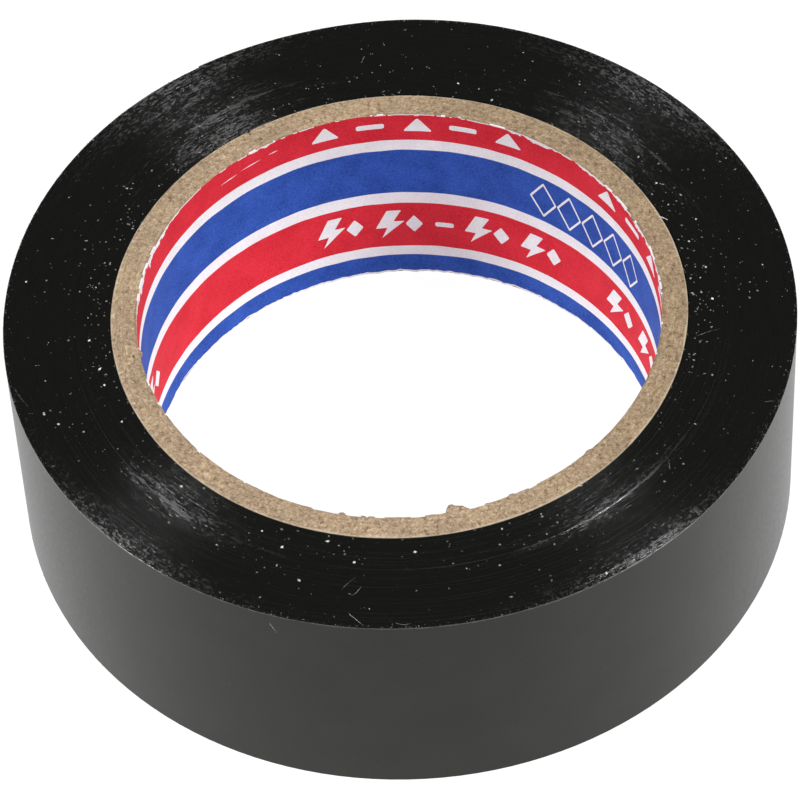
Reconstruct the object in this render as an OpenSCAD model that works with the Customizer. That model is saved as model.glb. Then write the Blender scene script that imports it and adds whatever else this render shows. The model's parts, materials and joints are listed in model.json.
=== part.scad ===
// Roll of electrical insulating tape on a paperboard core, 19 mm wide.
// The roll lies on its side: +Z is the core's axis, and the origin is the centre of the core's lower end.
// Angles are counted about +Z from +X, anticlockwise seen from above, in degrees.

/* [Tape] */
// Width of the tape
tape_w = 19; // [12:0.5:25]
// Thickness of the tape, film and adhesive together
tape_t = 0.13; // [0.1:0.01:0.2]
// Outside diameter of the full roll
roll_d = 59.7; // [52:0.1:70]

/* [Core] */
// Outside diameter of the paperboard core, where the tape starts
core_d = 43.3; // [42:0.1:46]
// Bore diameter, inside the printed liner
bore_d = 39.4; // [36:0.1:40]
// Thickness of the printed paper liner
liner_t = 0.12; // [0.08:0.01:0.2]
// Width of the butt seam in each paperboard ply
ply_seam = 0.2; // [0.1:0.05:0.5]

/* [Free end] */
// Where the outer turn ends, about +Z
tip_angle = 120; // [0:1:359]
// Arc that one rigid segment of the free end takes up
leader_arc = 12; // [6:1:20]
// Gap between the free end and the turn that it lies on
peel_gap = 0.02; // [0.01:0.005:0.03]
// Gap between neighbouring segments of the free end
segment_gap = 0.02; // [0.01:0.005:0.05]

/* [Hidden] */

$fn = 180;
PLIES = 4;                     // paperboard plies in the core
LEADERS = 4;                   // rigid segments that stand in for the flexible free end
SEAM_STEP = 97;                // each ply's seam is turned this far from the last one
FIRST_SEAM = 189;              // where the innermost ply's seam is
over = 1;                      // how far a cutter runs past what it cuts

bore_r = bore_d / 2;
liner_r = bore_r + liner_t;
core_r = core_d / 2;
roll_r = roll_d / 2;
ply_t = (core_r - liner_r) / PLIES;
gap_arc = segment_gap / roll_r * 180 / PI;
root_angle = tip_angle - LEADERS * leader_arc;

kraft = "#bda57f";
film = "#1d1e1c";

// A straight tube on the core's axis.
module tube(inner, outer) {
    difference() {
        cylinder(r = outer, h = tape_w);
        translate([0, 0, -over])
            cylinder(r = inner, h = tape_w + 2 * over);
    }
}

// Everything from one angle on to another, less than half a turn away.
module sector(from, to) {
    far = 2 * roll_r;
    middle = (from + to) / 2;
    reach = far / cos((to - from) / 2);
    linear_extrude(tape_w)
        polygon([
            [0, 0],
            far * [cos(from), sin(from)],
            reach * [cos(middle), sin(middle)],
            far * [cos(to), sin(to)]
        ]);
}

// The half of space on the anticlockwise side of the tip, or on the side before it.
module half(after_tip) {
    rotate([0, 0, tip_angle + (after_tip ? 0 : 180)])
        translate([-2 * roll_r, 0, -over])
            cube([4 * roll_r, 2 * roll_r, tape_w + 2 * over]);
}

// Solid inside a spiral that gains one tape thickness in the half turn after the tip, and then stays
// round. outer is its radius where it is round. The two half discs meet in one smooth line opposite
// the tip, and in a step one tape thick at the tip itself.
module spiral_disc(outer) {
    intersection() {
        rotate([0, 0, tip_angle])
            translate([-tape_t / 2, 0, 0])
                rotate([0, 0, -90])
                    cylinder(r = outer - tape_t / 2, h = tape_w);
        half(true);
    }
    intersection() {
        rotate([0, 0, tip_angle + 90])
            cylinder(r = outer, h = tape_w);
        half(false);
    }
}

// Printed paper liner, glued inside the core. Its inner face is the roll's bore.
module printed_liner() {
    color("#d8304a") tube(bore_r, liner_r);
}

// One ply of the paperboard core, 1 being the innermost. Its ends meet in a butt seam.
module core_ply(n) {
    inner = liner_r + (n - 1) * ply_t;
    color(kraft)
        difference() {
            tube(inner, inner + ply_t);
            rotate([0, 0, FIRST_SEAM + (n - 1) * SEAM_STEP])
                translate([inner - over, -ply_seam / 2, -over])
                    cube([ply_t + 2 * over, ply_seam, tape_w + 2 * over]);
        }
}

// All the turns of the tape but the last one, stuck to each other.
module wound_tape() {
    color(film)
        difference() {
            spiral_disc(roll_r - tape_t);
            translate([0, 0, -over])
                cylinder(r = core_r, h = tape_w + 2 * over);
        }
}

// The last turn, as far as it is stuck down. It carries on from the step of the turns below it.
module outer_turn() {
    color(film)
        difference() {
            spiral_disc(roll_r);
            spiral_disc(roll_r - tape_t);
            sector(root_angle - gap_arc, root_angle + 2 * leader_arc);
            sector(root_angle + leader_arc, tip_angle);
        }
}

// One segment of the free end, 1 being the one at the stuck part. Its hinge is the corner of its
// outer face that lies towards the stuck part, so lifting it opens a gap and never closes one.
module leader(n) {
    from = root_angle + (n - 1) * leader_arc;
    color(film)
        intersection() {
            tube(roll_r - tape_t + peel_gap, roll_r);
            sector(from, from + leader_arc - gap_arc);
        }
}

printed_liner();
core_ply(1);  // core_ply_1
core_ply(2);  // core_ply_2
core_ply(3);  // core_ply_3
core_ply(4);  // core_ply_4
wound_tape();
outer_turn();
leader(1);  // leader_1
leader(2);  // leader_2
leader(3);  // leader_3
leader(4);  // leader_4
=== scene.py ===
import json
import math

import bmesh
import bpy
import numpy as np
from mathutils import Matrix, Vector


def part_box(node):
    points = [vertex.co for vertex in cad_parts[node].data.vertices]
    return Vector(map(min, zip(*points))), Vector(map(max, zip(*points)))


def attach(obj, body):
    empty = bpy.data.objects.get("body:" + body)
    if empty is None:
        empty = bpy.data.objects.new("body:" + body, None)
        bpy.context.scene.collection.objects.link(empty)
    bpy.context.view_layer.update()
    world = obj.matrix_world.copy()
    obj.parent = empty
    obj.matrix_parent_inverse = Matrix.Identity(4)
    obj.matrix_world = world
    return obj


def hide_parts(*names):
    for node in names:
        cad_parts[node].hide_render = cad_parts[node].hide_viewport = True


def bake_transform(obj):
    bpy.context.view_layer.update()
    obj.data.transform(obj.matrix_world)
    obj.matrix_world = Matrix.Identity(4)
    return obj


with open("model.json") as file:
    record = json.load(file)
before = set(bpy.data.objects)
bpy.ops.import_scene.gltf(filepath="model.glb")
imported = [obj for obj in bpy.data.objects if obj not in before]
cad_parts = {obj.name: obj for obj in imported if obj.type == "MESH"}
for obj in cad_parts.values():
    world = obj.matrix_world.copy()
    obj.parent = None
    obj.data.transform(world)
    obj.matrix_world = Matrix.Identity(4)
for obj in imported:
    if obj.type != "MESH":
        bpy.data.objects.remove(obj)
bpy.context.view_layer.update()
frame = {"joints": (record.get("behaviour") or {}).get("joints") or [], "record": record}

# ---------------------------------------------------------------- sizes, in metres
MM = 0.001
BORE = next(m for m in frame["record"]["mounts"] if m["name"] == "core_bore")
BORE_R = BORE["dims"]["r_mm"] * MM
LINER_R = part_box("printed_liner")[1][0]
CORE_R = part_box("core_ply_4")[1][0]
ROLL_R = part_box("outer_turn")[1][0]
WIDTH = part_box("outer_turn")[1][2]
PLY_T = (CORE_R - LINER_R) / 4
TAPE_T = 0.13 * MM

HINGES = [np.array(j["pos_m"]) for j in frame["joints"]]
HINGE_ANGLES = [math.atan2(h[1], h[0]) for h in HINGES]
SEGMENT = HINGE_ANGLES[1] - HINGE_ANGLES[0]      # arc of one rigid segment of the free end
TIP = HINGE_ANGLES[-1] + SEGMENT                 # where the tape ends
PLY_SEAMS = [math.radians(189 + 97 * n) for n in range(4)]

TURN_STEPS = 144                                 # mesh steps in one turn of the wound tape
TOP_SINK = 0.06 * MM                             # the wound top face lies this far inside the roll's end
BASE_SINK = 0.02 * MM                            # and the face that the roll stands on, this far
TURNS = (ROLL_R - CORE_R) / TAPE_T - 1           # turns from the start of the tape to its tip
BRIGHT_TURN_R = CORE_R + 22.3 * TAPE_T           # the turn whose edge catches the most light
SCUFF = (-13.4 * MM, 19.8 * MM, WIDTH)           # middle of a scuffed patch on the top face
SCUFF_R = 6 * MM
FLAT_AT = math.radians(104)                      # the roll is pressed a little flat about here
FLAT_WIDTH = math.radians(17)
FLAT_DEPTH = 0.20 * MM
SLOW_WAVE = 0.014 * MM                           # how far the roll is out of round elsewhere

FREE_T = TAPE_T - 0.04 * MM                      # the free end is thinner, to bend clear of the turn below
FREE_STEP = math.radians(0.25)                   # its mesh is this fine along the tape
END_OVERLAP = math.radians(2)                    # the free end's first piece starts this far before its hinge
BEND_BEFORE = math.radians(2.8)                  # each bend starts this far before its hinge
BEND_AFTER = math.radians(8.8)                   # and ends this far past it


# ---------------------------------------------------------------- small tools
def grid_noise(x, y, period, seed):
    """Smooth noise from -1 to 1 on unit cells, repeating along x after period cells."""
    table = np.random.default_rng(seed).random((period, 256)) * 2 - 1
    xi, yi = np.floor(x).astype(int), np.floor(y).astype(int)
    fx, fy = x - xi, y - yi
    fx, fy = fx * fx * (3 - 2 * fx), fy * fy * (3 - 2 * fy)

    def at(i, j):
        return table[(xi + i) % period, (yi + j) % 256]

    low = at(0, 0) * (1 - fx) + at(1, 0) * fx
    high = at(0, 1) * (1 - fx) + at(1, 1) * fx
    return low * (1 - fy) + high * fy


def around(angle, cells):
    """An angle as a place on a ring of noise cells."""
    return np.asarray(angle) / (2 * math.pi) * cells


def angle_from(angle, middle):
    """An angle measured from another one, from minus half a turn to plus half a turn."""
    return (np.asarray(angle) - middle + math.pi) % (2 * math.pi) - math.pi


def bell(value, middle, width):
    """1 at the middle, and fading smoothly to nothing about two widths away."""
    return np.exp(-(((value - middle) / width) ** 2))


def out_of_round(angle, radius):
    """How far the wound tape is pressed in at a place: a flat at the back, and slow waves all round."""
    share = np.clip((radius - CORE_R) / (ROLL_R - CORE_R), 0, 1)
    from_flat = angle_from(angle, FLAT_AT)
    flat = FLAT_DEPTH * bell(from_flat, 0, FLAT_WIDTH)
    waves = SLOW_WAVE * (1 + grid_noise(around(angle, 9), 0.5 + 0 * from_flat, 9, 11))
    return share * (flat + waves)


def make_mesh(name, points, faces, materials, face_material=None, sharp=None):
    """A smooth piece, with the edges that are steeper than sharp degrees left sharp."""
    mesh = bpy.data.meshes.new(name)
    mesh.from_pydata(np.asarray(points).tolist(), [], faces)
    for material in materials:
        mesh.materials.append(material)
    if face_material is not None:
        mesh.polygons.foreach_set("material_index", np.asarray(face_material, np.int32))
    mesh.polygons.foreach_set("use_smooth", np.ones(len(mesh.polygons), bool))
    if sharp is not None:
        mesh.set_sharp_from_angle(angle=math.radians(sharp))
    mesh.update()
    piece = bpy.data.objects.new(name, mesh)
    bpy.context.scene.collection.objects.link(piece)
    return piece


def set_wrap(piece, run, sections):
    """Stores each point's place on the flattened tape, in millimetres, for the tape's materials."""
    height = sections[:, :, 2].ravel() / MM
    values = np.stack([np.repeat(run, sections.shape[1]), height, 0 * height], axis=1)
    attribute = piece.data.attributes.new("wrap", "FLOAT_VECTOR", "POINT")
    attribute.data.foreach_set("vector", np.asarray(values, np.float32).ravel())


def loft(sections, closed, capped):
    """Quads between rings of points, given as an array of sections by points by three."""
    count, size = sections.shape[:2]
    index = np.arange(count * size).reshape(count, size)
    ahead = np.roll(index, -1, axis=0)
    if not closed:
        index, ahead = index[:-1], ahead[:-1]
    faces = np.stack([index, ahead, np.roll(ahead, -1, axis=1), np.roll(index, -1, axis=1)], axis=-1)
    faces = faces.reshape(-1, 4).tolist()
    if capped:
        faces.append(list(range(size)))
        faces.append(list(range((count - 1) * size, count * size))[::-1])
    return sections.reshape(-1, 3), faces


def polar(angle, radius, z):
    """Points from angles in radians, radii and heights."""
    return np.stack([radius * np.cos(angle), radius * np.sin(angle), z + 0 * radius], axis=-1)


# ---------------------------------------------------------------- materials
class Shader:
    """A material with short calls for the nodes that the materials below share."""

    def __init__(self, name, **settings):
        self.material = bpy.data.materials.new(name)
        self.material.use_nodes = True
        self.tree = self.material.node_tree
        self.surface = self.tree.nodes["Principled BSDF"]
        for socket, value in settings.items():
            self.surface.inputs[socket.replace("_", " ")].default_value = value

    def node(self, kind, inputs=None, **options):
        made = self.tree.nodes.new(kind)
        for key, value in options.items():
            setattr(made, key, value)
        for key, value in (inputs or {}).items():
            if isinstance(value, bpy.types.NodeSocket):
                self.tree.links.new(value, made.inputs[key])
            else:
                made.inputs[key].default_value = value
        return made

    def math(self, operation, a, b=0.0, c=0.0):
        return self.node("ShaderNodeMath", {0: a, 1: b, 2: c}, operation=operation).outputs[0]

    def place(self):
        return self.node("ShaderNodeTexCoord").outputs["Object"]

    def wrap(self):
        return self.node("ShaderNodeAttribute", attribute_name="wrap").outputs["Vector"]

    def ring_place(self, along, across, upward=0.0):
        """Coordinates on the roll's ends, in cells that are along metres long round the roll and across
        metres wide. Also returns the radius.
        """
        x, y, z = self.node("ShaderNodeSeparateXYZ", {0: self.place()}).outputs
        radius = self.math("SQRT", self.math("ADD", self.math("MULTIPLY", x, x), self.math("MULTIPLY", y, y)))
        reach = 0.5 * (CORE_R + ROLL_R) / along
        across_cells = self.math("MULTIPLY_ADD", radius, 1 / across, self.math("MULTIPLY", z, upward))
        return self.node("ShaderNodeCombineXYZ", {
            0: self.math("MULTIPLY", self.math("DIVIDE", x, radius), reach),
            1: self.math("MULTIPLY", self.math("DIVIDE", y, radius), reach),
            2: across_cells,
        }).outputs[0], radius

    def noise(self, vector, scale, detail, rough=0.5, distort=0.0):
        return self.node("ShaderNodeTexNoise", {
            "Vector": vector, "Scale": scale, "Detail": detail, "Roughness": rough, "Distortion": distort,
        }).outputs["Fac"]

    def ramp(self, factor, *stops):
        made = self.node("ShaderNodeValToRGB", {0: factor})
        elements = made.color_ramp.elements
        while len(elements) < len(stops):
            elements.new(0.5)
        for element, (place, value) in zip(elements, stops):
            element.position = place
            element.color = (*value, 1) if isinstance(value, tuple) else (value, value, value, 1)
        return made.outputs[0]

    def mix(self, factor, a, b):
        a, b = ((*value, 1) if isinstance(value, tuple) else value for value in (a, b))
        return self.node("ShaderNodeMix", {0: factor, 6: a, 7: b}, data_type="RGBA").outputs[2]

    def multiply(self, a, b):
        inputs = {0: 1.0, 6: a, 7: b}
        return self.node("ShaderNodeMix", inputs, data_type="RGBA", blend_type="MULTIPLY").outputs[2]

    def bump(self, height, distance, strength, under=None):
        inputs = {"Height": height, "Distance": distance, "Strength": strength}
        if under is not None:
            inputs["Normal"] = under
        return self.node("ShaderNodeBump", inputs).outputs[0]

    def set(self, socket, value):
        self.tree.links.new(value, self.surface.inputs[socket])


def film_material():
    """The tape's outer side: soft black PVC with a satin grey sheen."""
    s = Shader("pvc_film", IOR=1.262, Specular_Tint=(1.0, 1.0, 0.93, 1),
               Sheen_Weight=0.05, Sheen_Roughness=0.5)
    wrap = s.wrap()
    broad = s.noise(wrap, 0.22, 3.0)
    fine = s.noise(wrap, 2.2, 3.0, 0.6)
    black = s.ramp(broad, (0.3, (0.0078, 0.0080, 0.0068)), (0.7, (0.0126, 0.0128, 0.0112)))
    height = s.node("ShaderNodeSeparateXYZ", {0: wrap}).outputs[1]
    # painted sheen: a pale grey line, broken up by noise, along the top edge of the film, in place of the
    # floor's reflection on the rounded edge
    scuff_and_painted_sheen = s.node("ShaderNodeMapRange", {                 # only along the top edge
        "Value": s.math("MULTIPLY_ADD", s.noise(wrap, 1.3, 3.0, 0.7), 0.32, height),
        "From Min": 18.93, "From Max": 19.06, "To Max": 0.8,
    }).outputs[0]
    s.set("Base Color", s.mix(scuff_and_painted_sheen, black, (0.15, 0.15, 0.14)))
    s.set("Roughness", s.ramp(fine, (0.3, 0.27), (0.7, 0.34)))
    squash = s.node("ShaderNodeMapping", {"Vector": wrap, "Scale": (0.35, 0.05, 1)}).outputs[0]
    soft = s.bump(s.noise(squash, 1.0, 2.0), 0.02 * MM, 0.5)
    s.set("Normal", s.bump(fine, 0.002 * MM, 0.6, soft))
    return s.material


def adhesive_material():
    """The tape's inner side: a black adhesive coating, glossier than the film and slightly uneven."""
    s = Shader("adhesive", IOR=1.48)
    fine = s.noise(s.wrap(), 1.4, 4.0, 0.6)
    s.set("Base Color", s.ramp(fine, (0.3, (0.010, 0.010, 0.009)), (0.7, (0.016, 0.015, 0.014))))
    s.set("Roughness", s.ramp(fine, (0.3, 0.16), (0.7, 0.30)))
    s.set("Normal", s.bump(fine, 0.012 * MM, 0.7))
    return s.material


# How streaked and how flecked the slit edges are: share of the way from the core to the rim, and amount
STREAKS_NEAR = [(0.0, 0.15), (0.12, 0.28), (0.20, 0.5), (0.27, 0.9), (0.36, 1.0), (0.44, 0.55),
                (0.52, 0.2), (0.58, 0.05), (0.70, 0.12), (0.82, 0.35), (1.0, 0.4)]
STREAKS_FAR = [(0.0, 0.65), (0.12, 0.9), (0.30, 0.95), (0.40, 0.7), (0.52, 0.45), (0.70, 0.5),
               (0.82, 0.9), (1.0, 0.7)]
FLECKS_NEAR = [(0.0, 0.30), (0.30, 0.20), (0.50, 0.04), (0.70, 0.08), (0.82, 0.40), (0.92, 1.0)]
FLECKS_FAR = [(0.0, 0.45), (0.30, 0.35), (0.60, 0.25), (0.80, 0.80), (0.92, 1.0)]


def cut_edge_material():
    """The slit edges of the turns: near-black, brushed along the turns like a record's grooves.

    Cloudy streaks catch the light most in a band near the core, and short flecks do so at the rim.
    """
    s = Shader("cut_edge", IOR=1.5, Specular_IOR_Level=1.0, Anisotropic=0.94, Anisotropic_Rotation=0.25)
    s.set("Tangent", s.node("ShaderNodeTangent", direction_type="RADIAL", axis="Z").outputs[0])
    long_place, radius = s.ring_place(1.6 * MM, 0.17 * MM)
    cloud_place, _ = s.ring_place(3.6 * MM, 0.8 * MM)
    short_place, _ = s.ring_place(0.40 * MM, 0.17 * MM)
    round_place, _ = s.ring_place(0.36 * MM, 0.25 * MM)
    streak = s.noise(long_place, 1.0, 3.0, 0.65)
    cloud = s.noise(cloud_place, 1.0, 2.0)
    across_roll = s.node("ShaderNodeSeparateXYZ", {0: s.place()}).outputs[1]
    far_half = s.ramp(s.math("MULTIPLY_ADD", across_roll, 12.0, 0.5), (0.40, 0.0), (0.60, 1.0))
    fleck = s.mix(far_half, s.noise(round_place, 1.0, 2.0, 0.6), s.noise(short_place, 1.0, 2.0, 0.6))
    share = s.math("DIVIDE", s.math("SUBTRACT", radius, CORE_R), ROLL_R - CORE_R)
    streaky = s.mix(far_half, s.ramp(share, *STREAKS_NEAR), s.ramp(share, *STREAKS_FAR))
    flecked = s.mix(far_half, s.ramp(share, *FLECKS_NEAR), s.ramp(share, *FLECKS_FAR))
    from_scuff = s.node("ShaderNodeVectorMath", {0: s.place(), 1: SCUFF}, operation="DISTANCE")
    scuff_and_painted_sheen = s.ramp(s.math("DIVIDE", from_scuff.outputs["Value"], SCUFF_R), (0.2, 1.0), (1.0, 0.0))
    flecked = s.math("MULTIPLY_ADD", scuff_and_painted_sheen, 0.15, flecked)
    streaky = s.math("MULTIPLY_ADD", scuff_and_painted_sheen, 0.5, streaky)
    patchy = s.ramp(cloud, (0.42, 0.25), (0.60, 1.0))
    fine = s.math("MULTIPLY_ADD", fleck, 0.35, s.math("MULTIPLY", streak, 0.65))
    bright_streak = s.math("MULTIPLY", s.ramp(fine, (0.38, 0.0), (0.68, 1.0)), patchy)
    bright_fleck = s.ramp(fleck, (0.45, 0.0), (0.72, 1.0))
    shine = s.math("MULTIPLY_ADD", bright_streak, streaky, s.math("MULTIPLY", bright_fleck, flecked))
    off_ridge = s.math("ABSOLUTE", s.math("SUBTRACT", radius, BRIGHT_TURN_R))
    ridge = s.ramp(s.math("DIVIDE", off_ridge, 0.16 * MM), (0.3, 0.7), (1.0, 0.0))
    broken = s.math("MULTIPLY", patchy, s.ramp(fine, (0.40, 0.15), (0.60, 1.0)))
    shine = s.math("MULTIPLY_ADD", ridge, broken, shine)
    s.set("Base Color", s.ramp(streak, (0.3, (0.0026, 0.0027, 0.0023)), (0.75, (0.0044, 0.0046, 0.0038))))
    s.set("Roughness", s.ramp(shine, (0.0, 0.15), (0.25, 0.20), (0.5, 0.28), (0.75, 0.38), (1.0, 0.52)))
    grooves = s.math("MULTIPLY", streak, s.math("MULTIPLY_ADD", streaky, 0.7, 0.3))
    height = s.math("MULTIPLY_ADD", s.math("MULTIPLY", fleck, flecked), 0.6, grooves)
    s.set("Normal", s.bump(height, 0.06 * MM, 0.9))
    return s.material


def kraft_material():
    """Raw edge of the paperboard: short matted fibres, and a trace of glue between the plies."""
    s = Shader("kraft_board", Roughness=0.92, Specular_IOR_Level=0.25)
    place, radius = s.ring_place(0.36 * MM, 0.20 * MM, 1 / (0.3 * MM))
    matted = s.noise(s.place(), 1 / (0.24 * MM), 4.0, 0.75, 1.2)
    combed = s.noise(place, 1.0, 4.0, 0.7, 1.2)
    fibres = s.math("MULTIPLY_ADD", combed, 0.25, s.math("MULTIPLY", matted, 0.75))
    blots = s.noise(s.place(), 1 / (0.42 * MM), 3.0, 0.6)
    patches = s.noise(s.place(), 1 / (2.6 * MM), 2.0)
    ply = s.math("FRACT", s.math("DIVIDE", s.math("SUBTRACT", radius, LINER_R), PLY_T))
    from_glue = s.math("MINIMUM", ply, s.math("SUBTRACT", 1.0, ply))
    glue = s.math("SMOOTH_MIN", s.math("MULTIPLY_ADD", from_glue, 6.0, 0.35), 1.0, 0.3)
    tone = s.ramp(fibres, (0.32, (0.14, 0.092, 0.050)), (0.46, (0.34, 0.245, 0.154)),
                  (0.57, (0.52, 0.408, 0.276)), (0.70, (0.78, 0.66, 0.50)))
    spots = s.ramp(blots, (0.30, (0.52, 0.46, 0.42)), (0.46, (0.96, 0.96, 0.96)), (0.72, (1.15, 1.12, 1.08)))
    worn = s.ramp(patches, (0.3, (0.88, 0.87, 0.86)), (0.7, (1.1, 1.08, 1.04)))
    # darker towards +x and a little towards +y, in a straight ramp across the board
    x, y, _ = s.node("ShaderNodeSeparateXYZ", {0: s.place()}).outputs
    right_side_ramp = s.math("MULTIPLY_ADD", s.math("MULTIPLY_ADD", y, 0.35, x), 20.0, 0.5)
    darker_right_side = s.ramp(right_side_ramp, (0.40, (0.95, 0.94, 0.96)), (0.90, (0.78, 0.76, 0.74)))
    tone = s.multiply(tone, darker_right_side)
    tinted = s.mix(glue, (0.32, 0.24, 0.155), s.multiply(s.multiply(tone, spots), worn))
    # painted highlight: a pale cream band, broken up by noise, round the core's outer rim, in place of light
    # catching the outermost ply's edge
    edge = s.node("ShaderNodeMapRange", {
        "Value": s.math("MULTIPLY_ADD", s.math("SUBTRACT", patches, 0.5), 0.35 * MM, radius),
        "From Min": CORE_R - 0.15 * MM, "From Max": CORE_R - 0.05 * MM, "To Max": 0.4,
    }).outputs[0]
    s.set("Base Color", s.mix(edge, tinted, (0.62, 0.55, 0.43)))
    s.set("Normal", s.bump(s.math("ADD", fibres, blots), 0.04 * MM, 0.7))
    return s.material


def print_material(name, low, high):
    """One colour of the liner's print: ink soaked into paper fibres."""
    s = Shader(name, Roughness=0.6, Specular_IOR_Level=0.06)
    grain = s.noise(s.place(), 1 / (0.16 * MM), 3.0, 0.7)
    cloud = s.noise(s.place(), 1 / (2.2 * MM), 2.0)
    both = s.math("ADD", s.math("MULTIPLY", grain, 0.7), s.math("MULTIPLY", cloud, 0.3))
    s.set("Base Color", s.ramp(both, (0.34, low), (0.66, high)))
    s.set("Normal", s.bump(grain, 0.012 * MM, 0.6))
    return s.material


def lint_material():
    """Dust and lint: most grains a faint grey, and a few lighter."""
    s = Shader("lint", Roughness=0.8)
    shade = s.noise(s.place(), 1 / (0.5 * MM), 1.0)
    s.set("Base Color", s.ramp(shade, (0.36, (0.05, 0.05, 0.045)), (0.54, (0.18, 0.18, 0.165)),
                               (0.70, (0.56, 0.55, 0.52))))
    return s.material


def white_dust_material():
    """The largest grains and fibres, which are nearly white."""
    s = Shader("white_dust", Roughness=0.7)
    shade = s.noise(s.place(), 1 / (0.5 * MM), 1.0)
    s.set("Base Color", s.ramp(shade, (0.35, (0.42, 0.41, 0.38)), (0.65, (0.88, 0.87, 0.82))))
    return s.material


def fibre_material():
    """Loose fibres of kraft board, lighter than the board."""
    s = Shader("kraft_fibre", Roughness=0.85)
    shade = s.noise(s.place(), 1 / (0.6 * MM), 2.0)
    s.set("Base Color", s.ramp(shade, (0.3, (0.36, 0.27, 0.18)), (0.7, (0.74, 0.64, 0.52))))
    return s.material


FILM = film_material()
ADHESIVE = adhesive_material()
CUT_EDGE = cut_edge_material()
KRAFT = kraft_material()
RED = print_material("ink_red", (0.52, 0.010, 0.023), (0.73, 0.034, 0.056))
BLUE = print_material("ink_blue", (0.010, 0.042, 0.245), (0.040, 0.116, 0.51))
PAPER = print_material("liner_paper", (0.72, 0.72, 0.74), (0.88, 0.89, 0.91))
LINT = lint_material()
WHITE_DUST = white_dust_material()
KRAFT_LIGHT = fibre_material()


# ---------------------------------------------------------------- wound tape
# Turns that stand a little proud of their neighbours, and how far
PROUD_TURNS = [(10, 0.010 * MM), (16, 0.012 * MM), (21.5, 0.030 * MM), (24, 0.018 * MM), (57, 0.012 * MM)]

# Burred slit edges at the front right: turn, reach in turns, reach in degrees, and how much more domed
BURR_AT = math.radians(303)
BURRS = [(22.0, 0.55, 14, 0.035 * MM), (TURNS - 3.5, 2.0, 13, 0.007 * MM)]

ACROSS = np.array([0.0, 0.14, 0.5, 0.86, 1.0])       # where a slit edge has points, from its inner side
WORN = np.array([0.0, 0.0, 0.1, 0.35, 1.0])          # how worn the last turn's edge is at each of them


def end_height(angle, turn):
    """Height of the turns' edges above the sunk face: slow swells, and each turn a little off the next."""
    swell = grid_noise(around(angle, 7), turn / 9.0, 7, 21)
    ridge = grid_noise(around(angle, 26), turn * 0.9, 26, 22)
    proud = sum(height * bell(turn, at, 0.7) for at, height in PROUD_TURNS)
    return 0.016 * MM * swell + 0.008 * MM * ridge + proud * (0.7 + 0.3 * ridge)


def strip_sections(angles, turns, thick, rounding):
    """Cross-sections of the tape: flat sides, and slightly domed slit edges at the top and the bottom."""
    from_burr = angle_from(angles, BURR_AT)
    burr = sum(more * bell(from_burr, 0, math.radians(wide)) * bell(turns, at, reach)
               for at, reach, wide, more in BURRS)
    dome = -(rounding + burr[:, None]) * np.abs(2 * ACROSS - 1)[None, :] ** 2.4
    worn = -0.03 * MM * bell(turns, TURNS, 0.9)[:, None] * WORN
    outer = CORE_R + TAPE_T * (1 + turns)
    radius = outer[:, None] - thick + thick * ACROSS[None, :]
    radius = radius - out_of_round(angles[:, None], radius)
    top = WIDTH - TOP_SINK + end_height(angles, turns)[:, None] + dome + worn
    bottom = BASE_SINK - 0.3 * end_height(angles + 2.0, turns)[:, None] - dome
    upper = polar(angles[:, None], radius, top)
    lower = polar(angles[:, None], radius[:, ::-1], bottom[:, ::-1])
    return np.concatenate([upper, lower], axis=1)


def tape_mesh(name, sections, rows, sharp):
    """A capped strip of tape: slit edges of four faces each, and flat sides of so many rows of points."""
    points, faces = loft(sections, closed=False, capped=True)
    edge, outside, inside = [0] * 4, [1] * (rows - 1), [2] * (rows - 1)
    face_material = (edge + outside + edge + inside) * (len(sections) - 1) + [0, 0]
    return make_mesh(name, points, faces, [CUT_EDGE, FILM, ADHESIVE], face_material, sharp)


def wound_tape():
    """All the turns that are stuck down, as one spiral strip. Returns its length in millimetres."""
    stuck_turns = TURNS - (TIP - HINGE_ANGLES[0] + END_OVERLAP) / (2 * math.pi)
    count = int(stuck_turns * TURN_STEPS)
    turns = np.linspace(0, stuck_turns, count + 1)
    angles = TIP + 2 * math.pi * (turns - TURNS)
    sections = strip_sections(angles, turns, TAPE_T, 0.012 * MM)
    piece = tape_mesh("wound_strip", sections, rows=2, sharp=15)
    run = np.cumsum(np.r_[0, np.hypot(*np.diff(sections[:, 4, :2], axis=0).T)]) / MM
    set_wrap(piece, run, sections)
    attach(piece, "roll")
    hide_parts("wound_tape", "outer_turn")
    return run[-1]


def free_end(start_run):
    """The last of the tape in four pieces, each crossing one hinge and cut halfway to the next bend."""
    to_cut = (BEND_AFTER + SEGMENT - BEND_BEFORE) / 2
    cuts = [HINGE_ANGLES[0] - END_OVERLAP] + [h + to_cut for h in HINGE_ANGLES[:3]] + [TIP]
    rows = 22                                        # rows of points across the tape's width
    for n in range(4):
        steps = int((cuts[n + 1] - cuts[n]) / FREE_STEP) + 1
        angles = np.linspace(cuts[n], cuts[n + 1], steps)
        turns = TURNS + (angles - TIP) / (2 * math.pi)
        ends = strip_sections(angles, turns, FREE_T, 0.02 * MM)
        up = np.linspace(0, 1, rows)[None, :, None]
        outside = ends[:, 4:5] * (1 - up) + ends[:, 5:6] * up
        inside = ends[:, 9:10] * (1 - up) + ends[:, 0:1] * up
        sections = np.concatenate([ends[:, 0:4], outside, ends[:, 6:9], inside[:, :-1]], axis=1)
        upward = sections[:, :, 2] / (1.7 * MM)
        ripple = 0.012 * MM * grid_noise(around(angles, 400)[:, None], upward, 400, 31)
        radius = np.hypot(sections[:, :, 0], sections[:, :, 1])
        sections[:, :, :2] *= (1 - np.abs(ripple) / radius)[:, :, None]
        if n == 3:
            cut_tip(sections, angles)
        piece = tape_mesh(f"free_end_film_{n + 1}", sections, rows, sharp=50)
        set_wrap(piece, start_run + (angles - cuts[0]) * ROLL_R / MM, sections)
        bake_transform(piece)
        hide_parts(f"leader_{n + 1}")


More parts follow.
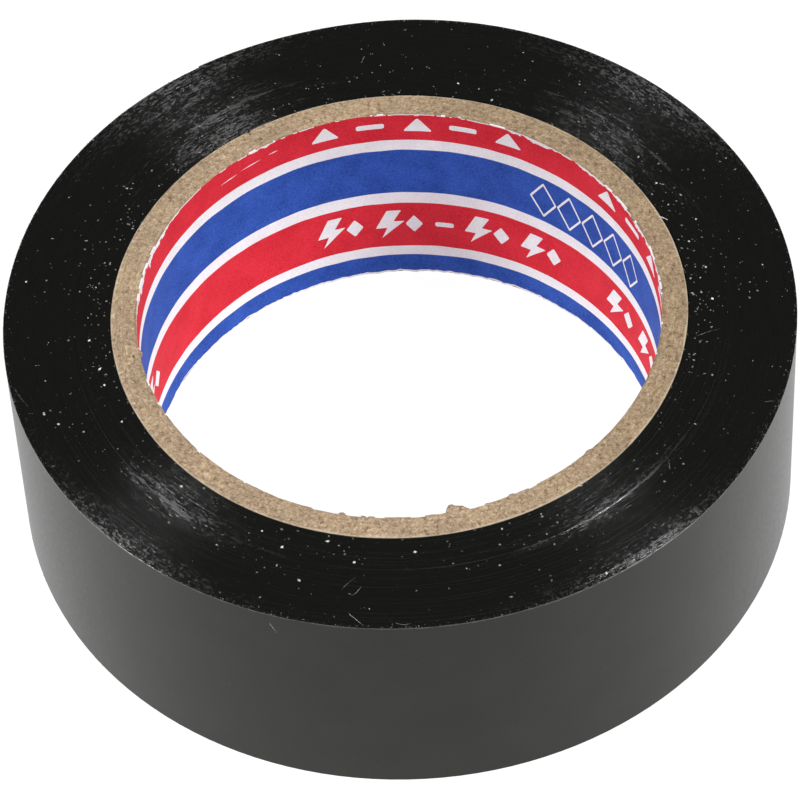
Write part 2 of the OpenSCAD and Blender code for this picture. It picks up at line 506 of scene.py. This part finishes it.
def cut_tip(sections, angles):
    """A blade's cut across the tape: not quite square, with a fine ragged edge."""
    height = sections[:, :, 2] / WIDTH
    slant = math.radians(0.5) * height
    ragged = math.radians(0.18) * (1 + grid_noise(sections[:, :, 2] / (0.5 * MM), 0 * height, 64, 33)) / 2
    start = angles[-9]                               # only the last few sections move
    share = np.clip((angles - start) / (angles[-1] - start), 0, 1)[:, None]
    turn = -(slant + ragged) * share
    x, y = sections[:, :, 0].copy(), sections[:, :, 1].copy()
    sections[:, :, 0] = x * np.cos(turn) - y * np.sin(turn)
    sections[:, :, 1] = x * np.sin(turn) + y * np.cos(turn)


# ---------------------------------------------------------------- core and liner
CORE_STEPS = 720                                 # mesh steps round the core
PLY_SINK = 0.07 * MM                             # a ply's raw end lies this far inside the roll's end
PLY_CROWN = 0.014 * MM                           # it is rounded down this much more at the ply's faces
PLY_LUMPS = 0.016 * MM
SEAM_DEPTH, SEAM_WIDTH = 0.16 * MM, 0.10 * MM    # the slit where a ply's ends meet
GLUE_GAP = 0.004 * MM                            # left for glue at each face of a ply
FRAY = 0.05 * MM                                 # how far the core's two outer corners are frayed


def torn_edge(angle, seed):
    """0 to 1: how much of a paper edge is missing, in tufts of several sizes."""
    fine = grid_noise(around(angle, 420), 0 * angle + 0.5, 420, seed)
    middle = grid_noise(around(angle, 130), 0 * angle + 0.5, 130, seed + 1)
    broad = grid_noise(around(angle, 24), 0 * angle + 0.5, 24, seed + 2)
    return np.clip(0.5 + 0.25 * fine + 0.3 * middle + 0.2 * broad, 0, 1)


def ply_top(angle, radius, n, seed):
    """How far a ply's raw end lies inside the roll's end."""
    bend = grid_noise(around(angle, 150), radius / (0.6 * MM), 150, seed + 2)
    twist = grid_noise(around(angle, 170), radius / (0.7 * MM), 170, seed + 3)
    lumps = grid_noise(around(angle, 230) + 1.2 * twist, radius / (0.5 * MM) + 0.8 * bend, 230, seed + 1)
    inner = LINER_R + n * PLY_T
    share = (radius - inner) / PLY_T
    crown = PLY_CROWN * np.abs(2 * share - 1) ** 3
    slit = SEAM_DEPTH * bell(angle_from(angle, PLY_SEAMS[n]) * radius, 0, SEAM_WIDTH)
    return PLY_SINK + crown + slit + PLY_LUMPS * lumps


def core_ply(n):
    """One ply of the core, counted from the inside."""
    angles = np.linspace(0, 2 * math.pi, CORE_STEPS, endpoint=False)[:, None]
    inner = LINER_R + n * PLY_T + GLUE_GAP
    outer = LINER_R + (n + 1) * PLY_T - GLUE_GAP
    across = np.linspace(inner, outer, 6)[None, :]
    top = WIDTH - ply_top(angles, across, n, 60 + n)
    bottom = ply_top(angles, across, n, 70 + n)
    if n == 0:
        top[:, :1] -= FRAY * torn_edge(angles, 50)
    if n == 3:
        top[:, -1:] -= FRAY * torn_edge(angles, 55)
    upper = polar(angles, across, top)
    lower = polar(angles, across[:, ::-1], bottom[:, ::-1])
    points, faces = loft(np.concatenate([upper, lower], axis=1), closed=True, capped=False)
    piece = make_mesh(f"core_board_{n + 1}", points, faces, [KRAFT], sharp=60)
    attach(piece, "roll")
    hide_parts(f"core_ply_{n + 1}")


# Heights in millimetres of the liner's printed rings, and the colour below each: 0 red, 1 blue, 2 paper
RINGS = [(2.25, 1), (3.35, 2), (8.5, 0), (9.75, 2), (14.75, 1), (15.9, 2), (19.0, 0)]
LOW_TORN, HIGH_TORN = 0.8, 17.6                  # the torn edges end at these heights in millimetres

# Where the liner's top edge is scuffed down to white paper: angle and reach in degrees, and how much
SCUFFED = [(14, 30, 0.8), (117, 6, 0.5), (265, 50, 1.0)]
MOST_SCUFFED = (164, 9)


def liner_inner(angle, z):
    """Radius of the liner's inner face: the bore, with the paper slightly wavy outwards."""
    wave = grid_noise(around(angle, 60), z / (2.5 * MM), 60, 41)
    return BORE_R + 0.012 * MM * (1 + wave)


def printed_liner():
    """The paper tube inside the core. Each ring of colour is its own band of faces."""
    angles = np.linspace(0, 2 * math.pi, CORE_STEPS, endpoint=False)[:, None]
    levels = [0.0, 0.25, 0.5, LOW_TORN]              # closer together where the edges are torn
    borders = [LOW_TORN] + [border for border, _ in RINGS[:-1]] + [HIGH_TORN]
    for low, high in zip(borders[:-1], borders[1:]):
        levels += [low + (high - low) * (i + 1) / 3 for i in range(3)]
    levels += [17.9, 18.1, 18.25, 18.4, 18.5, 18.6, 18.7, 18.8, 18.9, 19.0]
    levels = np.array(levels) * MM
    missing_low = 0.52 * MM * torn_edge(angles, 43) ** 1.5
    missing_high = 0.05 * MM + 0.15 * MM * torn_edge(angles, 46)
    share = levels[None, :] / WIDTH
    z = levels[None, :] + missing_low * np.clip(1 - levels[None, :] / (LOW_TORN * MM), 0, 1)
    z = z - missing_high * np.clip((levels[None, :] - HIGH_TORN * MM) / (WIDTH - HIGH_TORN * MM), 0, 1)
    drift = 0.035 * MM * grid_noise(around(angles, 90), share * 40, 90, 44)
    from_torn = np.minimum(levels[None, :] - LOW_TORN * MM, HIGH_TORN * MM - levels[None, :])
    z = z + drift * np.clip(from_torn / MM, 0, 1)
    inside = polar(angles, liner_inner(angles, z), z)
    outside = polar(angles, LINER_R - 0.002 * MM + 0 * z[:, ::-1], z[:, ::-1])
    points, faces = loft(np.concatenate([outside, inside], axis=1), closed=True, capped=False)

    count = len(levels)
    middle = (levels[:-1] + levels[1:]) / 2 / MM
    colour = np.array([next(c for top, c in RINGS if m < top) for m in middle])
    colour = np.tile(colour, (CORE_STEPS, 1))
    depth = (WIDTH - levels[:-1])[None, :] / MM
    patch = bell(angles, *np.radians(MOST_SCUFFED))
    scuff_and_painted_sheen = sum(much * bell(angles, math.radians(at), math.radians(wide)) for at, wide, much in SCUFFED)
    fringe = torn_edge(angles, 48) ** 2 * (0.35 + 1.1 * scuff_and_painted_sheen + 2.0 * patch)
    colour[depth < 0.04 + fringe] = 2
    hem = 0.231 * torn_edge(angles, 52) ** 3
    colour[levels[None, :-1] / MM < hem] = 2
    paper = np.full((CORE_STEPS, count), 2)
    cut_edge = np.where(torn_edge(angles, 57) > 0.75 - 0.25 * scuff_and_painted_sheen - 0.3 * patch, 2, 3)
    face_material = np.concatenate([paper, colour, cut_edge], axis=1).ravel()
    piece = make_mesh("liner_paper", points, faces, [RED, BLUE, PAPER, KRAFT], face_material, sharp=50)
    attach(piece, "roll")
    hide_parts("printed_liner")


# ---------------------------------------------------------------- printed marks
INK_T = 0.014 * MM
INK_SINK = 0.004 * MM                            # how deep the ink's lower face lies in the paper
MARK_STEP = 0.4                                  # millimetres from cut to cut, so that marks follow the bore

# Where rows of marks start, in degrees. They run clockwise seen from above.
FLASH_ROWS = (222, 108, 34, -40)
TRIANGLE_ROWS = (108, 37, -34, -105, 232)
RHOMBUS_ROWS = (57, -98)
SCRATCHES = [(132, 127, 17.35), (126, 120.5, 17.5), (118.5, 116, 17.65)]     # start, end and height


def rounded(points, radius):
    """A closed outline in millimetres with its corners rounded."""
    out = []
    for i, corner in enumerate(points):
        corner = np.array(corner, float)
        before, after = np.array(points[i - 1], float), np.array(points[(i + 1) % len(points)], float)
        cut_in = corner + (before - corner) * min(0.5, radius / np.linalg.norm(before - corner))
        cut_out = corner + (after - corner) * min(0.5, radius / np.linalg.norm(after - corner))
        for t in np.linspace(0, 1, 4):
            out.append((1 - t) ** 2 * cut_in + 2 * t * (1 - t) * corner + t * t * cut_out)
    return np.array(out)


def inset(outline, width):
    """An outline moved inwards by a line's width, each corner along its own bisector."""
    before, after = np.roll(outline, 1, axis=0), np.roll(outline, -1, axis=0)
    along = (after - before) / np.linalg.norm(after - before, axis=1)[:, None]
    return outline + width * np.stack([-along[:, 1], along[:, 0]], axis=1)


def bolt(w, h):
    """A lightning flash, the usual sign for electrical goods."""
    return rounded([(0.20 * w, 0.0), (1.0 * w, 0.60 * h), (0.62 * w, 0.60 * h), (0.90 * w, h),
                    (0.40 * w, h), (0.0, 0.37 * h), (0.40 * w, 0.37 * h)], 0.08)


def dash(w, h):
    return rounded([(0, 0.5 * h - 0.26), (w, 0.5 * h - 0.26), (w, 0.5 * h + 0.26), (0, 0.5 * h + 0.26)], 0.2)


def diamond(w, h):
    return rounded([(w / 2, 0), (w, h / 2), (w / 2, h), (0, h / 2)], 0.16)


def triangle(w, h):
    return rounded([(0, 0), (w, 0), (w / 2, h)], 0.22)


class Print:
    """White marks on the liner's inner face, gathered flat and then wrapped round the bore."""

    def __init__(self):
        self.mesh = bmesh.new()

    def fill(self, outline, angle, z):
        """A filled mark. Its left end is at an angle in degrees, and z is its foot in millimetres."""
        start = -math.radians(angle) * BORE_R / MM
        self.mesh.faces.new([self.mesh.verts.new((start + x, 0, z + h)) for x, h in outline])

    def line(self, outline, angle, z, width):
        """The same mark as a line of some width along its outline."""
        start = -math.radians(angle) * BORE_R / MM
        inner = inset(outline, width)
        loops = [[self.mesh.verts.new((start + x, 0, z + h)) for x, h in ring] for ring in (outline, inner)]
        for i in range(len(outline)):
            self.mesh.faces.new([loops[0][i - 1], loops[0][i], loops[1][i], loops[1][i - 1]])

    def finish(self):
        """Cuts the flat marks into short steps, thickens them and wraps them round the bore."""
        work = self.mesh
        work.normal_update()
        bmesh.ops.triangulate(work, faces=work.faces[:])
        reach = [v.co.x for v in work.verts]
        for cut in np.arange(math.floor(min(reach)), max(reach), MARK_STEP):
            bmesh.ops.bisect_plane(work, geom=work.verts[:] + work.edges[:] + work.faces[:],
                                   plane_co=(cut, 0, 0), plane_no=(1, 0, 0), dist=1e-5)
        bmesh.ops.recalc_face_normals(work, faces=work.faces[:])
        under = work.faces[:]
        raised = bmesh.ops.extrude_face_region(work, geom=under, use_keep_orig=True)["geom"]
        for item in raised:
            if isinstance(item, bmesh.types.BMVert):
                item.co.y = 1
        for vert in work.verts:
            angle, z, lift = -vert.co.x * MM / BORE_R, vert.co.z * MM, vert.co.y
            radius = float(liner_inner(np.array([angle]), np.array([z]))[0]) + INK_SINK - lift * INK_T
            vert.co = (radius * math.cos(angle), radius * math.sin(angle), z)
        bmesh.ops.recalc_face_normals(work, faces=work.faces[:])
        mesh = bpy.data.meshes.new("liner_marks")
        work.to_mesh(mesh)
        work.free()
        mesh.materials.append(PAPER)
        piece = bpy.data.objects.new("liner_marks", mesh)
        bpy.context.scene.collection.objects.link(piece)
        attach(piece, "roll")


def printed_marks():
    """Generic marks in the places of lettering. Widths, heights and feet are in millimetres."""
    ink = Print()
    for start in FLASH_ROWS:
        for step, shape in enumerate((bolt, diamond, bolt, diamond, dash, bolt, diamond, bolt, diamond)):
            wide, low, high = {bolt: (2.3, 4.4, 3.2), diamond: (1.4, 5.0, 2.0), dash: (1.5, 5.0, 2.0)}[shape]
            ink.fill(shape(wide, high), start - 6.9 * step, low)
    for start in TRIANGLE_ROWS:
        for step, shape in enumerate((triangle, dash, triangle, dash, triangle)):
            wide, high = {triangle: (2.3, 1.5), dash: (2.2, 1.3)}[shape]
            ink.fill(shape(wide, high), start - 10.6 * step, 16.95)
    for start in RHOMBUS_ROWS:
        for step in range(5):
            ink.line(diamond(2.5, 4.0), start - 7.3 * step, 10.25, 0.17)
    for start, end, z in SCRATCHES:
        long = math.radians(start - end) * BORE_R / MM
        ink.fill(rounded([(0, 0), (0.6 * long, -0.02), (long, 0.06), (0.5 * long, 0.07)], 0.03), start, z)
    ink.finish()


# ---------------------------------------------------------------- dust and lint
GRAIN_HALF = 0.36                                # half a grain's height, as a share of its size


def grains(name, angle, radius, size, on_top, material, seed):
    """Small closed grains of dust lying on the roll's ends, and not reaching past them."""
    rng = np.random.default_rng(seed)
    count = len(angle)
    level = WIDTH - TOP_SINK + end_height(angle, (radius - CORE_R) / TAPE_T - 1) + 0.1 * size
    level = np.minimum(level, WIDTH - 0.42 * size)
    z = np.where(on_top, level, BASE_SINK + 0.4 * size)
    radius = radius - out_of_round(angle, radius)
    centre = np.stack([radius * np.cos(angle), radius * np.sin(angle), z], axis=1)
    corners = np.array([(1, 0, 0), (0, 1, 0), (-1, 0, 0), (0, -1, 0),
                        (0, 0, GRAIN_HALF), (0, 0, -GRAIN_HALF)])
    shape = corners[None] * rng.uniform(0.6, 1.1, (count, 6, 1)) * size[:, None, None]
    spin, stretch = rng.random(count) * 2 * math.pi, rng.uniform(0.7, 1.4, count)[:, None]
    cosine, sine = np.cos(spin)[:, None], np.sin(spin)[:, None]
    x, y = shape[:, :, 0] * stretch, shape[:, :, 1] / stretch
    shape[:, :, 0], shape[:, :, 1] = x * cosine - y * sine, x * sine + y * cosine
    points = (centre[:, None] + shape).reshape(-1, 3)
    sides = [(i, (i + 1) % 4, 4) for i in range(4)] + [((i + 1) % 4, i, 5) for i in range(4)]
    faces = [[6 * k + i for i in side] for k in range(count) for side in sides]
    piece = make_mesh(name, points, faces, [material])
    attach(piece, "roll")


def scattered_dust(name, count, smallest, largest, seed):
    """Dust at random, with more of it close to the core."""
    rng = np.random.default_rng(seed)
    share = np.where(rng.random(count) < 0.45, rng.beta(1.1, 3.0, count), rng.random(count))
    radius = CORE_R + (0.01 + 0.975 * share) * (ROLL_R - CORE_R - 0.25 * MM)
    size = smallest * (largest / smallest) ** rng.random(count) ** 1.7
    grains(name, rng.random(count) * 2 * math.pi, radius, size, rng.random(count) < 0.75, LINT, seed + 1)


# The largest grains: angle in degrees and radius in millimetres
LARGE_GRAINS = [(170.5, 28.4), (183.5, 23.3), (190.7, 22.9), (194.7, 22.9), (200, 27.2), (204.3, 22.9),
                (223.6, 22.9), (242, 23.0), (254.3, 22.4), (246.7, 23.8), (259.8, 24.0), (251.7, 26.3),
                (270.4, 23.0), (298, 29.3), (358.1, 23.5), (36, 23.5), (28.7, 23.0), (17.4, 24.0),
                (76, 23.2), (287, 22.3)]


def large_dust():
    """The grains that stand out, each at its own place."""
    angle, radius = np.radians([a for a, _ in LARGE_GRAINS]), np.array([r for _, r in LARGE_GRAINS]) * MM
    size = np.random.default_rng(76).uniform(0.15, 0.21, len(angle)) * MM
    grains("dust_large", angle, radius, size, np.ones(len(angle), bool), WHITE_DUST, 77)


def rim_dust():
    """Fine dust caught along the rim."""
    rng = np.random.default_rng(78)
    count = 1500
    angle, size = rng.random(count) * 2 * math.pi, rng.uniform(0.018, 0.05, count) * MM
    radius = ROLL_R - 0.09 * MM - rng.exponential(0.12, count) * MM
    grains("dust_rim", angle, radius, size, rng.random(count) < 0.8, LINT, 79)


def dust_patch(name, middle, spread, count, seed):
    """Thicker dust close to the core, about an angle in degrees."""
    rng = np.random.default_rng(seed)
    angle = rng.normal(math.radians(middle), math.radians(spread), count)
    radius = CORE_R + 0.2 * MM + rng.gamma(1.6, 0.8, count) * MM
    radius = np.minimum(radius, ROLL_R - 0.5 * MM)
    grains(name, angle, radius, rng.uniform(0.05, 0.12, count) * MM, np.ones(count, bool), LINT, seed + 1)


def thread(path, thick, rings=8):
    """Points and faces of a thin hair, bent towards one or two guide points between its ends."""
    along = np.linspace(0, 1, rings)
    if len(path) == 3:
        weights = np.stack([(1 - along) ** 2, 2 * along * (1 - along), along ** 2], axis=1)
    else:
        weights = np.stack([(1 - along) ** 3, 3 * along * (1 - along) ** 2,
                            3 * along ** 2 * (1 - along), along ** 3], axis=1)
    line = weights @ np.array(path)
    ahead = np.gradient(line, axis=0)
    ahead /= np.linalg.norm(ahead, axis=1)[:, None]
    side = np.cross(ahead, (0.31, 0.17, 0.93))
    side /= np.linalg.norm(side, axis=1)[:, None]
    over = np.cross(ahead, side)
    taper = thick * (0.35 + 0.65 * np.sin(math.pi * np.clip(along, 0.08, 0.92)))[:, None, None]
    sections = line[:, None] + taper * np.stack([side, over, -side, -over], axis=1)
    return loft(sections, closed=False, capped=True)


def spot(angle, radius, z):
    """A point from degrees and millimetres."""
    turn = math.radians(angle)
    return (radius * MM * math.cos(turn), radius * MM * math.sin(turn), z * MM)


def gather(name, parts, material):
    """Joins several (points, faces) into one piece that rides on the roll."""
    points, faces, base = [], [], 0
    for some, quads in parts:
        points.append(some)
        faces += [[base + i for i in face] for face in quads]
        base += len(some)
    piece = make_mesh(name, np.concatenate(points), faces, [material])
    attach(piece, "roll")


# Long fibres, given one by one: angle in degrees, radius and height in millimetres. The first hangs over the
# rim.
WHITE_FIBRES = [
    [(247.4, 29.3, 18.97), (248.2, 29.72, 18.9), (249.3, 29.80, 17.9), (250.4, 29.74, 16.7)],
    [(260.3, 28.6, 18.95), (261.5, 29.1, 18.98), (262.6, 29.55, 18.93)],
]
FAINT_FIBRES = [
    [(258.5, 26.6, 18.94), (259.4, 25.8, 18.97), (261.0, 25.1, 18.94)],
    [(348.6, 22.3, 18.95), (350.3, 23.3, 18.98), (351.0, 24.1, 18.94)],
    [(190.9, 29.4, 18.95), (193.3, 29.2, 18.98), (195.4, 28.7, 18.93)],
    [(199.0, 29.5, 18.95), (200.0, 29.2, 18.98), (199.4, 28.8, 18.94)],
    [(238.5, 29.55, 18.93), (240.0, 29.70, 18.7), (240.8, 29.72, 18.1)],
    [(267.0, 29.3, 18.95), (268.3, 29.6, 18.97), (269.3, 29.3, 18.93)],
]

# Thicker hairs at the core's outer edge, with how thick each is
CORE_HAIRS = [
    ([(20.9, 21.5, 18.93), (20.2, 21.75, 18.98), (19.2, 21.98, 18.95)], 0.035 * MM),
    ([(299.5, 21.55, 18.93), (300.1, 21.68, 18.97), (300.4, 21.6, 18.95)], 0.04 * MM),
    ([(304.5, 21.60, 18.93), (305.0, 21.84, 18.97), (305.3, 21.8, 18.94)], 0.03 * MM),
]


def lint():
    """Stray fibres: the long ones above, short ones at random, and fuzz where the core's paper is cut."""
    parts = [thread([spot(*place) for place in path], 0.014 * MM) for path in WHITE_FIBRES]
    faint = [thread([spot(*place) for place in path], 0.011 * MM) for path in FAINT_FIBRES]
    rng = np.random.default_rng(83)
    for _ in range(18):
        angle, radius, turn = rng.random() * 360, rng.uniform(21.9, 29.3), rng.random() * 6.28
        long = rng.uniform(0.25, 0.9)
        step = math.degrees(long * math.cos(turn) / radius)
        rise, bow = long * math.sin(turn), rng.uniform(-0.2, 0.2)
        z = 18.94 if rng.random() < 0.7 else 0.06    # on the top end or at the foot
        radius = min(radius, 29.3 - abs(rise))
        parts.append(thread([spot(angle, radius, z), spot(angle + step / 2, radius + rise / 2 + bow, z),
                             spot(angle + step, radius + rise, z)], 0.007 * MM, 5))
    parts += [thread([spot(*place) for place in path], thick) for path, thick in CORE_HAIRS]
    gather("lint_fibres", parts, WHITE_DUST)
    gather("faint_fibres", faint, LINT)

    fuzz = []
    for _ in range(420):
        angle, low = rng.random() * 360, rng.random() < 0.4
        radius = rng.choice([LINER_R, CORE_R, rng.uniform(LINER_R, CORE_R)]) / MM + rng.uniform(-0.06, 0.06)
        reach, swing = rng.uniform(-0.3, 0.3), rng.uniform(-1.0, 1.0)
        heights = (18.86, 18.97, 18.95 - rng.uniform(0, 0.05))
        z = [19 - h for h in heights] if low else heights
        fuzz.append(thread([spot(angle, radius, z[0]), spot(angle + 0.4 * swing, radius + 0.4 * reach, z[1]),
                            spot(angle + swing, radius + reach, z[2])], rng.uniform(0.008, 0.018) * MM, 5))
    gather("core_fuzz", fuzz, KRAFT_LIGHT)


# The torn flap of paper that leans into the bore: angles in degrees, and how far it reaches in millimetres
TORN_FLAP = [(277.4, 0.02), (277.8, 0.40), (278.4, 0.66), (279.1, 0.70), (279.8, 0.52),
             (280.6, 0.44), (281.3, 0.38), (281.9, 0.16), (282.4, 0.02)]

# Smaller flaps: middle and half width in degrees, and how far they reach in millimetres
SMALL_FLAPS = [(292.0, 0.9, 0.14), (255.5, 0.7, 0.12), (188.6, 1.2, 0.22), (23.0, 0.8, 0.18),
               (312.0, 1.1, 0.12)]


def torn_tuft():
    """Flaps of torn paper on the core's inner edge: a large one in front, and a few small ones."""
    rng = np.random.default_rng(91)
    outlines = [TORN_FLAP]
    for middle, half, reach in SMALL_FLAPS:
        outlines.append([(middle + half * t, reach * (1 - t * t) + 0.02) for t in np.linspace(-1, 1, 7)])
    parts = []
    for outline in outlines:
        angles = np.linspace(outline[0][0], outline[-1][0], 4 * len(outline))
        reaches = np.interp(angles, *zip(*outline)) * rng.uniform(0.95, 1.04, len(angles))
        sections = []
        for angle, reach in zip(angles, reaches):
            tip = 18.93 + 0.015 * rng.uniform(-1, 1)
            # Radius and height, from the core's edge out to the flap's tip and back
            shape = [(20.15, 18.90), (19.9, 18.93),
                     (19.74 - 0.5 * reach, tip), (19.74 - reach, tip - 0.05),
                     (19.74 - reach, tip - 0.16), (19.74 - 0.5 * reach, tip - 0.26),
                     (19.9, 18.6), (20.15, 18.5)]
            sections.append([spot(angle, r, z) for r, z in shape])
        parts.append(loft(np.array(sections), closed=False, capped=True))
    gather("core_torn_paper", parts, KRAFT)


wound_run = wound_tape()
free_end(wound_run)
for ply in range(4):
    core_ply(ply)
printed_liner()
printed_marks()
scattered_dust("dust_grains", 420, smallest=0.07 * MM, largest=0.15 * MM, seed=71)
scattered_dust("dust_fine", 900, smallest=0.025 * MM, largest=0.055 * MM, seed=73)
large_dust()
rim_dust()
dust_patch("dust_patch_right", middle=3, spread=14, count=90, seed=86)
dust_patch("dust_patch_left", middle=168, spread=17, count=75, seed=96)
lint()
torn_tuft()


# ---------------------------------------------------------------- floor, light and camera
def floor():
    """A plain white floor that glows a little, so that it stays white round the roll."""
    s = Shader("floor_white", Base_Color=(0.10, 0.10, 0.10, 1), Roughness=0.9,
               Emission_Color=(1, 1, 1, 1), Emission_Strength=0.96)
    half = 0.6
    corners = [(-half, -half, 0), (half, -half, 0), (half, half, 0), (-half, half, 0)]
    stage = make_mesh("floor", corners, [[0, 1, 2, 3]], [s.material])


def softbox(name, direction, distance, size, power):
    """A rectangular lamp that faces the middle of the roll."""
    light = bpy.data.lights.new(name, "AREA")
    light.shape = "RECTANGLE"
    light.size, light.size_y = size
    light.energy = power
    lamp = bpy.data.objects.new(name, light)
    toward = Vector(direction).normalized()
    lamp.location = toward * distance + Vector((0, 0, WIDTH / 2))
    lamp.rotation_euler = toward.to_track_quat("Z", "Y").to_euler()
    bpy.context.scene.collection.objects.link(lamp)


def lights():
    """A faint even sky, and a softbox on each side."""
    world = bpy.data.worlds.new("studio")
    world.use_nodes = True
    world.node_tree.nodes["Background"].inputs["Color"].default_value = (1, 1, 1, 1)
    world.node_tree.nodes["Background"].inputs["Strength"].default_value = 0.06
    bpy.context.scene.world = world
    softbox("left_softbox", (-0.76, -0.10, 0.64), 0.50, (0.14, 0.20), 2.2)
    softbox("right_softbox", (0.70, -0.32, 0.64), 0.50, (0.14, 0.20), 2.6)


def camera():
    """Long lens, 51 degrees above the table, turned a little about its own axis."""
    elevation, distance = math.radians(50.92), 375.4 * MM
    target = Vector((-0.30, 0, 8.04)) * MM
    roll = math.radians(-3.24)
    right = Vector((1, 0, 0))
    up = Vector((0, math.sin(elevation), math.cos(elevation)))
    back = Vector((0, -math.cos(elevation), math.sin(elevation)))
    cam_x = math.cos(roll) * right + math.sin(roll) * up
    cam_y = -math.sin(roll) * right + math.cos(roll) * up
    data = bpy.data.cameras.new("camera")
    data.sensor_width = 36.0
    data.lens = 220.3
    data.clip_start = 0.01
    data.clip_end = 10
    eye = bpy.data.objects.new("camera", data)
    turned = Matrix((cam_x, cam_y, back)).transposed().to_4x4()
    eye.matrix_world = Matrix.Translation(target + back * distance) @ turned
    bpy.context.scene.collection.objects.link(eye)
    bpy.context.scene.camera = eye


floor()
lights()
camera()
bpy.context.scene.view_settings.view_transform = "Standard"
